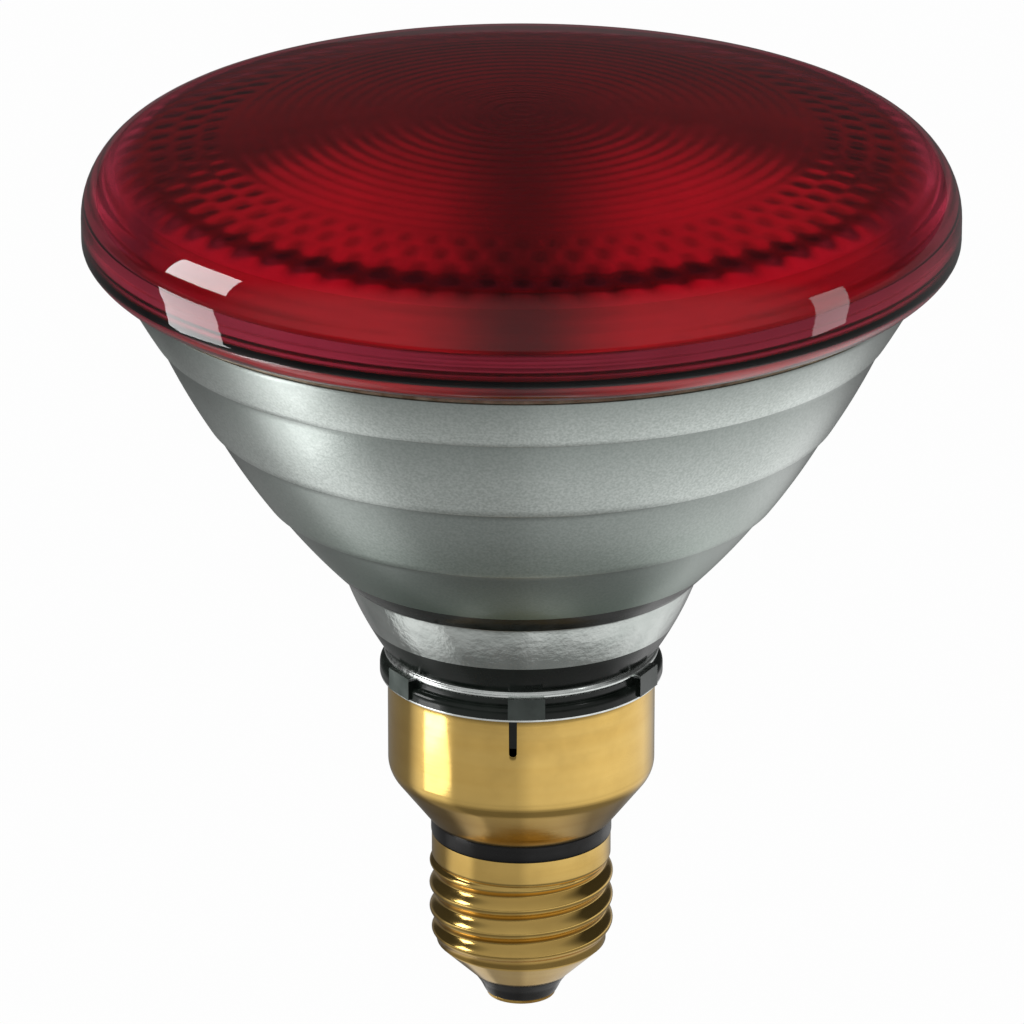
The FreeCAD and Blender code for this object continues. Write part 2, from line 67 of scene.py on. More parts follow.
# A whole outline from corners (radius, height, bend, steps), each stretch running to the next corner.
def traceOutline(corners, closed=False):
    ring = corners + corners[:1] if closed else corners
    runs = [stretch(a[:2], b[:2], a[2], a[3]) for a, b in zip(ring[:-1], ring[1:])]
    if not closed:
        runs.append(np.array([corners[-1][:2]], float))
    return np.vstack(runs)


# Each corner gives way to a short curve: a quadratic between points set back along both sides, by the
# cut or at most the given share of a side.
def softenOutline(points, cut, closed=False, steps=4, most=0.4):
    before, after = np.roll(points, 1, axis=0), np.roll(points, -1, axis=0)
    t = np.linspace(0, 1, steps)[None, :, None]

    def setBack(side):
        gap = side - points
        length = np.maximum(np.hypot(gap[:, 0], gap[:, 1]), tiny)[:, None]
        return points + gap * np.minimum(cut / length, most)

    a, b = setBack(before)[:, None], setBack(after)[:, None]
    curve = (1 - t) ** 2 * a + 2 * t * (1 - t) * points[:, None] + t ** 2 * b
    if closed:
        return curve.reshape(-1, 2)
    return np.vstack((points[:1], curve[1:-1].reshape(-1, 2), points[-1:]))


# Soft start and stop: three t squared less two t cubed, with t held between 0 and 1.
def smoothStep(t):
    t = np.clip(t, 0, 1)
    return t * t * (3 - 2 * t)


# Angles round the axis for a feature that repeats: its own columns, then the plain ones up to the next,
# set a hair off both flanks so that these stand square. Also gives each angle from its feature's middle.
def repeatRound(own, hair, plainColumns, count, turnDegrees):
    sector = tau / count
    sides = np.concatenate((own, np.linspace(own[-1] + hair, sector + own[0] - hair, plainColumns)))
    starts = np.arange(count) * sector + math.radians(turnDegrees)
    return (starts[:, None] + sides).reshape(1, -1), np.tile(sides, count)[None, :]


# Puts new data in the scene as an object of its name.
def addObject(name, data):
    thing = bpy.data.objects.new(name, data)
    bpy.context.collection.objects.link(thing)
    return thing


# Puts a grid of points (rows, columns, 3) in a mesh. Columns always close on themselves; rows do if
# asked, and a row whose points coincide becomes one pole point. Faces are turned outward by volume.
# Finishes gives each strip (and column) its material's number, and shade each point a value.
def gridPiece(name, grid, closedRows=False, sharpDegrees=34, finishes=None, shade=None):
    columns = grid.shape[1]
    pole = np.ptp(grid, axis=1).max(axis=1) < poleSpan
    counts = np.where(pole, 1, columns)
    starts = np.concatenate(([0], np.cumsum(counts)[:-1]))
    column = np.arange(columns)
    index = starts[:, None] + np.where(pole[:, None], 0, column[None, :])
    keep = ~pole[:, None] | (column[None, :] == 0)
    points = grid[keep]
    lower = index if closedRows else index[:-1]
    upper = np.roll(index, -1, axis=0) if closedRows else index[1:]
    quads = np.stack((lower, np.roll(lower, -1, 1), np.roll(upper, -1, 1), upper), axis=-1)
    lowPole = pole if closedRows else pole[:-1]
    highPole = np.roll(pole, -1) if closedRows else pole[1:]
    body = quads[~lowPole & ~highPole].reshape(-1, 4)
    caps = np.vstack((quads[lowPole][..., [0, 2, 3]].reshape(-1, 3),
                      quads[highPole][..., [0, 1, 2]].reshape(-1, 3)))
    corners = points[body]
    turn = np.einsum("ij,ij->i", corners[:, 0], np.cross(corners[:, 1], corners[:, 2]))
    turn += np.einsum("ij,ij->i", corners[:, 0], np.cross(corners[:, 2], corners[:, 3]))
    if turn.sum() < 0:
        body, caps = body[:, ::-1], caps[:, ::-1]
    mesh = bpy.data.meshes.new(name)
    mesh.from_pydata(points.tolist(), [], body.tolist() + caps.tolist())
    mesh.polygons.foreach_set("use_smooth", np.ones(len(mesh.polygons), bool))
    mesh.set_sharp_from_angle(angle=math.radians(sharpDegrees))
    if finishes is not None:
        spread = np.broadcast_to(finishes, quads.shape[:2])
        order = np.concatenate((spread[~lowPole & ~highPole], spread[lowPole], spread[highPole]))
        mesh.polygons.foreach_set("material_index", order.ravel().astype(np.int32))
    if shade is not None:
        marks = mesh.attributes.new("shade", "FLOAT", "POINT")
        marks.data.foreach_set("value", np.broadcast_to(shade, grid.shape[:2])[keep].astype(np.float32))
    mesh.update()
    print(name, "triangles", 2 * len(body) + len(caps))
    return addObject(name, mesh)


# Turns radius and height arrays about the lamp's axis; the angle runs from the front towards +X.
def spin(radius, height, angle):
    radius, height, angle = np.broadcast_arrays(radius, height, angle)
    return np.stack((radius * np.sin(angle), -radius * np.cos(angle), height), axis=-1) * mm


# A plain turned piece: the outline carried round a circle in even columns.
def turnedPiece(name, outline, columns, closedRows=False):
    angle = np.linspace(0, tau, columns, endpoint=False)
    return gridPiece(name, spin(outline[:, :1], outline[:, 1:], angle[None, :]), closedRows)


# A piece takes its finishes in order, rides the root, and stands for its CAD nodes, which it hides.
def dress(piece, finishes, slotName, *nodes):
    for finish in finishes:
        piece.data.materials.append(finish)
    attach(piece, "root")
    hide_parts(*nodes)


# Short ways to add shader nodes to a tree.
class Nodes:
    def __init__(self, tree):
        self.tree = tree

    def add(self, kind, inputs=None, **options):
        node = self.tree.nodes.new(kind)
        for option, value in options.items():
            setattr(node, option, value)
        for socket, value in (inputs or {}).items():
            if isinstance(value, bpy.types.NodeSocket):
                self.tree.links.new(value, node.inputs[socket])
            else:
                node.inputs[socket].default_value = value
        return node

    def math(self, operation, a, b=0.0, clamp=False):
        return self.add("ShaderNodeMath", {0: a, 1: b}, operation=operation, use_clamp=clamp).outputs[0]

    def span(self, value, low, high, outLow, outHigh):  # a value's range spread onto another range
        return self.add("ShaderNodeMapRange", {0: value, 1: low, 2: high, 3: outLow, 4: outHigh}).outputs[0]

    def blend(self, factor, a, b):
        return self.add("ShaderNodeMix", {0: factor, 6: a, 7: b}, data_type="RGBA").outputs[2]

    def noise(self, place, scale, detail=3.0, roughness=0.5):
        inputs = {"Vector": place, "Scale": scale, "Detail": detail, "Roughness": roughness}
        return self.add("ShaderNodeTexNoise", inputs).outputs["Fac"]

    def axisDistance(self, parts):  # the root of x squared plus y squared
        squares = [self.math("POWER", parts.outputs[i], 2.0) for i in (0, 1)]
        return self.math("SQRT", self.math("ADD", squares[0], squares[1]))

    def plainGloss(self, path):  # glossy rays less those that pass through glass
        glossy, through = path.outputs["Is Glossy Ray"], path.outputs["Is Transmission Ray"]
        return self.math("SUBTRACT", glossy, through, True)


# An empty node group that is given a place and plain values, with its two ends to be wired.
def newGroup(name, inputs, outputs):
    tree = bpy.data.node_groups.new(name, "ShaderNodeTree")
    tree.interface.new_socket("Place", in_out="INPUT", socket_type="NodeSocketVector")
    for label, value in inputs.items():
        socket = tree.interface.new_socket(label, in_out="INPUT", socket_type="NodeSocketFloat")
        socket.default_value = value
    for label in outputs:
        tree.interface.new_socket(label, in_out="OUTPUT", socket_type="NodeSocketFloat")
    nodes = Nodes(tree)
    return nodes, nodes.add("NodeGroupInput"), nodes.add("NodeGroupOutput")


# Coarseness of a band against a streak, closeness of the second cloud against the first, and the
# noise levels between which a mark or a speck comes up.
groupLook = {"bandShare": 0.14, "closeTimes": 4.3, "markSpan": (0.16, 0.42), "speckSpan": (0.35, 0.65)}


# Fine rings left by spinning and rolling: noise read along radius and height, barely along the angle.
def spunStreaksGroup():
    nodes, given, out = newGroup("spunStreaks", {"Fineness": 2600.0, "Waver": 0.04}, ["Streak", "Band"])
    parts = nodes.add("ShaderNodeSeparateXYZ", {0: given.outputs["Place"]})
    weak = [nodes.math("MULTIPLY", parts.outputs[i], given.outputs["Waver"]) for i in (0, 1)]
    depth = nodes.math("ADD", parts.outputs[2], nodes.axisDistance(parts))
    line = nodes.add("ShaderNodeCombineXYZ", {0: weak[0], 1: weak[1], 2: depth}).outputs[0]
    fine = nodes.noise(line, given.outputs["Fineness"], 2.0)
    wider = nodes.math("MULTIPLY", given.outputs["Fineness"], groupLook["bandShare"])
    nodes.tree.links.new(fine, out.inputs["Streak"])
    nodes.tree.links.new(nodes.noise(line, wider, 2.0), out.inputs["Band"])
    return nodes.tree


# Cloudy marks of handling: two soft noises multiplied and pushed apart.
def handMarksGroup():
    nodes, given, out = newGroup("handMarks", {"Spread": 45.0, "Amount": 0.5}, ["Mark"])
    wide = nodes.noise(given.outputs["Place"], given.outputs["Spread"], 4.0, 0.6)
    closer = nodes.math("MULTIPLY", given.outputs["Spread"], groupLook["closeTimes"])
    both = nodes.math("MULTIPLY", wide, nodes.noise(given.outputs["Place"], closer, 3.0))
    mark = nodes.span(both, *groupLook["markSpan"], 0.0, 1.0)
    nodes.tree.links.new(nodes.math("MULTIPLY", mark, given.outputs["Amount"]), out.inputs["Mark"])
    return nodes.tree


# Skin of a pressing: fine grain over slow ripples, both as a height.
def pressedSkinGroup():
    inputs = {"Grain": 2400.0, "Ripple": 90.0, "Share": 0.5}
    nodes, given, out = newGroup("pressedSkin", inputs, ["Height", "Speck"])
    grain = nodes.noise(given.outputs["Place"], given.outputs["Grain"], 2.0)
    ripple = nodes.noise(given.outputs["Place"], given.outputs["Ripple"], 2.0)
    low = nodes.math("MULTIPLY", ripple, nodes.math("SUBTRACT", 1.0, given.outputs["Share"]))
    high = nodes.math("MULTIPLY", grain, given.outputs["Share"])
    nodes.tree.links.new(nodes.math("ADD", low, high), out.inputs["Height"])
    nodes.tree.links.new(nodes.span(grain, *groupLook["speckSpan"], 0.0, 1.0), out.inputs["Speck"])
    return nodes.tree


groups = {"streaks": spunStreaksGroup(), "marks": handMarksGroup(), "skin": pressedSkinGroup()}


# A new material with its surface, its place on the object and the groups above at hand.
class Finish(Nodes):
    def __init__(self, name, **constants):
        self.material = bpy.data.materials.new(name)
        self.material.use_nodes = True
        super().__init__(self.material.node_tree)
        self.surface = self.tree.nodes["Principled BSDF"]
        for socket, value in constants.items():
            self.surface.inputs[socket].default_value = value
        self.place = self.add("ShaderNodeTexCoord").outputs["Object"]

    def group(self, key, **values):
        node = self.add("ShaderNodeGroup", node_tree=groups[key])
        self.tree.links.new(self.place, node.inputs["Place"])
        for socket, value in values.items():
            node.inputs[socket].default_value = value
        return node.outputs

    def shade(self):  # the value that gridPiece gave each point
        return self.add("ShaderNodeAttribute", attribute_name="shade").outputs["Fac"]

    def wire(self, socket, value):
        self.tree.links.new(value, self.surface.inputs[socket])

    def bump(self, height, strength, depthMm):
        inputs = {"Strength": strength, "Distance": depthMm * mm, "Height": height}
        self.wire("Normal", self.add("ShaderNodeBump", inputs).outputs[0])


# Cloudy finish: the marks blend pale to deep, smooth to rough and one coat weight to another, and the
# skin is a fine bump. A speckled one takes its roughness from the specks; shade paints its cells darker, a
# painted shade.
def cloudyFinish(name, look, pale, deep):
    finish = Finish(name, **look["surface"])
    skin = finish.group("skin", **look["skin"])
    mark = finish.group("marks", **look["marks"])["Mark"]
    base = finish.blend(mark, pale, deep)
    if "cell" in look:
        base = finish.blend(finish.shade(), base, look["cell"])
    finish.wire("Base Color", base)
    wear = skin["Speck"] if look.get("speckled") else mark
    finish.wire("Roughness", finish.span(wear, 0.0, 1.0, *look["rough"]))
    if "coat" in look:
        finish.wire("Coat Weight", finish.span(mark, 0.0, 1.0, *look["coat"]))
    finish.bump(skin["Height"], *look["bump"])
    return finish.material


redTint = {
    "light": (0.84, 0.06, 0.13, 1), "deep": (0.76, 0.045, 0.10, 1), "dark": (0.54, 0.03, 0.035, 1),
    # cell: darker red painted on the prism cells, a painted shade
    "cell": (0.30, 0.02, 0.045, 1),
}
redLook = {
    "surface": {"Transmission Weight": 1.0, "IOR": 1.47}, "marks": {"Spread": 38.0, "Amount": 1.0},
    "skin": {"Grain": 900.0, "Ripple": 75.0, "Share": 0.12}, "rough": (0.015, 0.05), "bump": (0.25, 0.12),
}
redRimLook = {**redLook, "rough": (0.12, 0.2)}
redInsideLook = {**redRimLook, "cell": redTint["cell"]}
tubeLook = {
    "surface": {"Transmission Weight": 1.0, "IOR": 1.47}, "marks": {"Spread": 80.0, "Amount": 1.0},
    "skin": {"Grain": 1200.0, "Ripple": 140.0, "Share": 0.15}, "rough": (0.01, 0.07), "bump": (0.3, 0.08),
}
# glass with no coating behind it, over the dark inside of the neck, which is painted dark as painted shade
bareLook = {
    "surface": {"Coat Roughness": 0.04, "IOR": 1.3}, "marks": {"Spread": 70.0, "Amount": 1.0},
    "skin": {"Grain": 1200.0, "Ripple": 140.0, "Share": 0.2}, "rough": (0.12, 0.3), "coat": (0.3, 0.1),
    "bump": (0.3, 0.08),
}
polishedLook = {
    "surface": {"Metallic": 1.0}, "marks": {"Spread": 60.0, "Amount": 0.8},
    "skin": {"Grain": 1500.0, "Ripple": 160.0, "Share": 0.15}, "rough": (0.05, 0.14), "bump": (0.6, 0.5),
}
mirrorLook = {
    "surface": {"Metallic": 1.0}, "marks": {"Spread": 40.0, "Amount": 1.0},
    "skin": {"Grain": 1100.0, "Ripple": 70.0, "Share": 0.2}, "rough": (0.3, 0.37), "bump": (0.2, 0.1),
}
blackLook = {
    "surface": {"Specular IOR Level": 0.22, "Coat Roughness": 0.05},
    "marks": {"Spread": 90.0, "Amount": 1.0}, "skin": {"Grain": 1600.0, "Ripple": 200.0, "Share": 0.3},
    "rough": (0.12, 0.32), "coat": (0.25, 0.05), "bump": (0.3, 0.06),
}


# Dull metal: specks roughen it, over ripples twelve times as wide as its grain.
def dullLook(grain, smooth, rough):
    return {
        "surface": {"Metallic": 1.0}, "marks": {"Spread": 120.0, "Amount": 1.0},
        "skin": {"Grain": grain, "Ripple": grain / 12, "Share": 0.5}, "speckled": True,
        "rough": (smooth, rough), "bump": (0.3, 0.05),
    }


satinLook = {
    "surface": {"Metallic": 1.0, "Coat Roughness": 0.12}, "marks": {"Spread": 30.0, "Amount": 0.6},
    "skin": {"Grain": 2600.0, "Ripple": 120.0, "Share": 0.8},
    "pale": (0.70, 0.755, 0.72, 1), "grey": (0.52, 0.575, 0.54, 1), "green": (0.17, 0.26, 0.20, 1),
    "dark": (0.20, 0.23, 0.215, 1), "greenSpan": (66.0, 92.0), "paintedShadeFrom": 0.1, "paintedShadeShare": 0.75,
    "rough": (0.30, 0.38), "coat": (0.5, 0.3), "bump": (0.35, 0.06),
}


# Satin back of the coating, seen through the pressed glass: greener towards the neck, and darker up
# each band by its shade, a painted shade that is darkest under each ledge.
def satinSilverFinish():
    finish = Finish("satinSilver", **satinLook["surface"])
    skin = finish.group("skin", **satinLook["skin"])
    mark = finish.group("marks", **satinLook["marks"])["Mark"]
    height = finish.add("ShaderNodeSeparateXYZ", {0: finish.place}).outputs[2]
    greenHigh, greenNone = (level * mm for level in satinLook["greenSpan"])
    low = finish.span(height, greenHigh, greenNone, 1.0, 0.0)
    base = finish.blend(skin["Speck"], satinLook["grey"], satinLook["pale"])
    base = finish.blend(low, base, satinLook["green"])
    # painted shade: darker up each band
    rise = finish.span(finish.shade(), satinLook["paintedShadeFrom"], 1.0, 0.0, satinLook["paintedShadeShare"])
    finish.wire("Base Color", finish.blend(rise, base, satinLook["dark"]))
    finish.wire("Roughness", finish.span(mark, 0.0, 1.0, *satinLook["rough"]))
    finish.wire("Coat Weight", finish.span(mark, 0.0, 1.0, *satinLook["coat"]))
    finish.bump(skin["Height"], *satinLook["bump"])
    return finish.material


brassLook = {
    "bright": (0.83, 0.58, 0.19, 1), "warm": (0.70, 0.44, 0.11, 1), "brown": (0.24, 0.12, 0.025, 1),
    "streaks": {"Fineness": 2600.0, "Waver": 0.05}, "marks": {"Spread": 70.0, "Amount": 1.0},
    "grooveShare": 0.2, "footShare": 0.4, "streakWear": 0.4, "wearFrom": 0.1, "bump": (0.12, 0.03),
}


# Rolled brass: streaks round the axis and cloudy tarnish. It is browner in grooves, given as the radii
# from and to and the lowest height, and towards the foot, given as the heights from and to: both painted
# shade.
def brassFinish(name, smooth, rough, tarnish, grooves=None, footShade=None):
    finish = Finish(name, **{"Metallic": 1.0})
    streaks = finish.group("streaks", **brassLook["streaks"])
    mark = finish.group("marks", **brassLook["marks"])["Mark"]
    base = finish.blend(streaks["Band"], brassLook["bright"], brassLook["warm"])
    brown = finish.math("MULTIPLY", mark, tarnish)
    parts = finish.add("ShaderNodeSeparateXYZ", {0: finish.place})
    if grooves:
        inner, outer, lowest = (size * mm for size in grooves)
        # painted shade: browner in the thread's grooves
        groove = finish.span(finish.axisDistance(parts), inner, outer, brassLook["grooveShare"], 0.0)
        above = finish.math("GREATER_THAN", parts.outputs[2], lowest)
        brown = finish.math("MAXIMUM", brown, finish.math("MULTIPLY", groove, above))
    if footShade:
        low, high = (size * mm for size in footShade)
        # painted shade: browner towards the cone's foot
        foot = finish.span(parts.outputs[2], low, high, brassLook["footShare"], 0.0)
        brown = finish.math("MAXIMUM", brown, foot)
    finish.wire("Base Color", finish.blend(brown, base, brassLook["brown"]))
    worn = finish.math("ADD", finish.math("MULTIPLY", streaks["Streak"], brassLook["streakWear"]), mark)
    finish.wire("Roughness", finish.span(worn, brassLook["wearFrom"], 1.0, smooth, rough))
    finish.bump(streaks["Streak"], *brassLook["bump"])
    return finish.material


sealLook = {
    "surface": {"Coat Roughness": 0.3}, "marks": {"Spread": 110.0, "Amount": 1.0},
    "skin": {"Grain": 1500.0, "Ripple": 300.0, "Share": 0.6}, "tan": (0.74, 0.62, 0.42, 1),
    "pale": (0.86, 0.76, 0.56, 1), "brown": (0.30, 0.20, 0.11, 1), "rough": (0.45, 0.65),
    "coat": (0.2, 0.0), "bump": (0.4, 0.08),
}


# Sealing glass: specks blend tan to pale and roughen it, marks turn it brown and take off its gloss.
def sealFinish():
    finish = Finish("sealingGlass", **sealLook["surface"])
    skin = finish.group("skin", **sealLook["skin"])
    mark = finish.group("marks", **sealLook["marks"])["Mark"]
    base = finish.blend(skin["Speck"], sealLook["tan"], sealLook["pale"])
    finish.wire("Base Color", finish.blend(mark, base, sealLook["brown"]))
    finish.wire("Roughness", finish.span(skin["Speck"], 0.0, 1.0, *sealLook["rough"]))
    finish.wire("Coat Weight", finish.span(mark, 0.0, 1.0, *sealLook["coat"]))
    finish.bump(skin["Height"], *sealLook["bump"])
    return finish.material


redGlass = cloudyFinish("redGlass", redLook, redTint["light"], redTint["deep"])
redGlassInside = cloudyFinish("redGlassInside", redInsideLook, redTint["light"], redTint["deep"])
# the rim's inside takes the darker red: painted shade on the same glass
redGlassRim = cloudyFinish("redGlassRim", redRimLook, redTint["dark"], redTint["dark"])
satinSilver = satinSilverFinish()
polishedSilver = cloudyFinish("polishedSilver", polishedLook, (0.68, 0.72, 0.69, 1), (0.50, 0.55, 0.52, 1))
# the dark inside seen through clear glass, painted into an opaque colour: painted shade
shadedBareGlass = cloudyFinish("shadedBareGlass", bareLook, (0.012, 0.018, 0.014, 1), (0.035, 0.045, 0.038, 1))
# the lugs: a paler copy of the same glass, painted light where they catch the lamps
litLugGlass = cloudyFinish("litLugGlass", bareLook, (0.12, 0.15, 0.135, 1), (0.24, 0.28, 0.26, 1))
tubeGlass = cloudyFinish("tubeGlass", tubeLook, (0.90, 0.94, 0.92, 1), (0.80, 0.86, 0.83, 1))
mirrorCoat = cloudyFinish("mirrorCoat", mirrorLook, (0.87, 0.88, 0.89, 1), (0.76, 0.77, 0.78, 1))
skirtBrass = brassFinish("skirtBrass", 0.08, 0.16, 0.1, footShade=(33.0, 37.5))
shellBrass = brassFinish("shellBrass", 0.10, 0.2, 0.15, grooves=(12.1, 12.75, 9.4))
contactBrass = brassFinish("contactBrass", 0.25, 0.45, 0.8)
blackGlass = cloudyFinish("blackInsulator", blackLook, (0.006, 0.006, 0.007, 1), (0.022, 0.02, 0.018, 1))
sealTan = sealFinish()
solder = cloudyFinish("solder", dullLook(1400.0, 0.28, 0.5), (0.55, 0.56, 0.57, 1), (0.36, 0.36, 0.37, 1))
beadLook = dullLook(1500.0, 0.18, 0.34)
beadSilver = cloudyFinish("beadSilver", beadLook, (0.92, 0.95, 0.93, 1), (0.74, 0.79, 0.76, 1))
nickel = cloudyFinish("nickel", dullLook(2200.0, 0.2, 0.38), (0.66, 0.63, 0.58, 1), (0.50, 0.47, 0.43, 1))
wireLook = dullLook(2600.0, 0.3, 0.5)
tungsten = cloudyFinish("tungsten", wireLook, (0.34, 0.34, 0.36, 1), (0.22, 0.22, 0.24, 1))
print("finishes made")


# Front glass: domed outside, fine rings and chequered prisms pressed into its inner face.
lens = {
    "domeRadius": 250.0, "shoulderRadius": 10.5, "shoulderHeight": 119.11, "rimLow": 115.6,
    "tuckIn": 5.0, "tuckRadius": 7.5, "cornerCut": 0.8, "sealWidth": 3.6, "wall": 4.0, "rimRows": 30,
    "ringField": 40.6, "ringCount": 19, "ringDepth": 0.03, "rowsPerRing": 5,
    "prismField": 55.6, "prismRows": 4, "prismTurns": 68, "prismDepth": 0.05, "prismFade": 2.0,
    "rowsPerPrism": 8, "columnsPerPrism": 6, "cellContrast": 1.6, "fluteWidth": 1.8, "fluteDepth": 0.06,
}


def frontLens():
    low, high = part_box("front_lens")
    edge, top, foot = high.x / mm, high.z / mm, low.z / mm
    dome, shoulder, wall = lens["domeRadius"], lens["shoulderRadius"], lens["wall"]
    centre = top - dome
    reach = dome - shoulder
    across, rise = edge - shoulder, lens["shoulderHeight"] - centre
    outer = traceOutline([
        (0, top, -dome, 26),
        (across * dome / reach, centre + rise * dome / reach, -shoulder, 16),
        (edge, lens["shoulderHeight"]),
    ])
    tuck = traceOutline([
        (edge, lens["shoulderHeight"], 0, 1),
        (edge, lens["rimLow"], -lens["tuckRadius"], 4),
        (edge - lens["tuckIn"], foot, 0, 1),
        (edge - lens["tuckIn"] - lens["sealWidth"], foot),
    ])
    outer = np.vstack((outer[:-1], softenOutline(tuck, lens["cornerCut"])))
    # the inner face one wall further in, measured along its own line from the pole
    share = (dome - wall) / reach
    skin = traceOutline([
        (0, top - wall, wall - dome, 160),
        (across * share, centre + rise * share, wall - shoulder, 80),
        (edge - wall, lens["shoulderHeight"], 0, 30),
        (edge - lens["tuckIn"] - lens["sealWidth"], foot),
    ])
    length = np.concatenate(([0], np.cumsum(np.hypot(*np.diff(skin, axis=0).T))))
    ringField, prismField = lens["ringField"], lens["prismField"]
    rimStops = np.linspace(length[-1], prismField, lens["rimRows"], endpoint=False)[1:]
    prismRows = lens["prismRows"] * lens["rowsPerPrism"]
    prismStops = np.linspace(prismField, ringField, prismRows, endpoint=False)
    ringStops = np.linspace(ringField, 0, lens["ringCount"] * lens["rowsPerRing"] + 1)
    stops = np.concatenate((rimStops, prismStops, ringStops))
    inner = np.stack([np.interp(stops, length, skin[:, i]) for i in (0, 1)], axis=1)
    way = np.gradient(inner, stops, axis=0)
    turn = np.linspace(0, tau, lens["prismTurns"] * lens["columnsPerPrism"], endpoint=False)[None, :]
    # proud of that line: rings are one cosine wave each, prisms a sine times a cosine, fading to both
    # edges of their field, and the flutes beyond are a sine
    along = stops[:, None]
    rings = (0.5 - 0.5 * np.cos(tau * along * lens["ringCount"] / ringField)) * lens["ringDepth"]
    field = np.clip((along - ringField) / (prismField - ringField), 0, 1)
    within = np.clip(lens["prismFade"] * np.sin(math.pi * field), 0, 1)
    chequer = np.sin(math.pi * lens["prismRows"] * field) * np.cos(lens["prismTurns"] * turn) * within
    flutes = np.sin(tau * (along - prismField) / lens["fluteWidth"]) * lens["fluteDepth"]
    proud = np.where(along < ringField, rings, chequer * lens["prismDepth"])
    proud = np.where(along > prismField, flutes, proud)
    innerRadius = inner[:, :1] + way[:, 1:] * proud
    innerHeight = inner[:, 1:] - way[:, :1] * proud
    innerRadius[-1] = 0
    radius = np.vstack((np.repeat(outer[:, :1], turn.size, axis=1), innerRadius))
    height = np.vstack((np.repeat(outer[:, 1:], turn.size, axis=1), innerHeight))
    strip = np.arange(len(radius) - 1)
    finishes = (strip >= len(outer) - 1).astype(int) + (strip >= len(outer) + len(rimStops))
    # cells that stand proud take a darker red: painted shade for the light pattern of the prisms
    paintedCellShade = np.clip(lens["cellContrast"] * chequer, 0, 1)
    paintedCellShade = np.vstack((np.zeros((len(outer), turn.size)), paintedCellShade))
    piece = gridPiece("frontLens", spin(radius, height, turn), finishes=finishes[:, None], shade=paintedCellShade)
    dress(piece, (redGlass, redGlassRim, redGlassInside), "red_glass", "front_lens")


frontLens()


# Sealing bead between the two glasses, a little rounded outside.
seal = {"width": 3.45, "cornerCut": 0.2, "columns": 240}


def sealBead():
    low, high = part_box("rim_seal")
    outside, foot, top = high.x / mm, low.z / mm, high.z / mm
    inside = outside - seal["width"]
    corners = np.array([(inside, foot), (outside, foot), (outside, top), (inside, top)])
    piece = turnedPiece("sealBead", softenOutline(corners, seal["cornerCut"], True), seal["columns"], True)
    dress(piece, (sealTan,), "sealing_glass", "rim_seal")


sealBead()


# Reflector: four stacked bands on a parabola, polished neck, collar with lugs, heel, mirror inside.
# Its zones are the finishes up the outside, each with the height it ends at; above the last it is satin.
reflector = {
    "lipHeight": 68.3, "lipRadius": 26.925, "lipDepth": 1.9, "rimSet": 0.71, "bandCurve": 95.0,
    "ledge": 0.5, "bandFeet": (0.2425, 0.5232, 0.8214), "bandSlack": 0.03, "wall": 3.45, "sealWidth": 3.6,
    "neckHigh": 66.4, "neckWaist": 19.2, "neckCurve": 48.0, "beadHigh": 54.95, "beadLow": 53.95,
    "beadRound": 0.62, "collarRadius": 20.0, "collarTop": 53.0, "collarLow": 50.75, "collarRound": 0.9,
    "heelRadius": 18.25, "floor": 52.0, "floorRadius": 15.2, "innerLow": 190.0, "innerHigh": 285.0,
    "lugs": 6, "lugWidth": 5.2, "lugProud": 0.45, "lugLow": 51.2, "lugFoot": 0.06, "lugHigh": 54.41,
    "lugTurn": 2.0, "lugColumns": 9, "plainColumns": 30, "flankHair": 0.0015, "cornerCut": 0.14,
    "lineHigh": 51.1, "waistHigh": 59.3, "shadeLow": 66.5, "shadeHigh": 69.7,
    "zones": (("bare", "collarLow"), ("bead", "lineHigh"), ("bare", "beadLow"), ("bead", "beadHigh"),
              ("bare", "waistHigh"), ("polished", "shadeLow"), ("bare", "shadeHigh")),
}


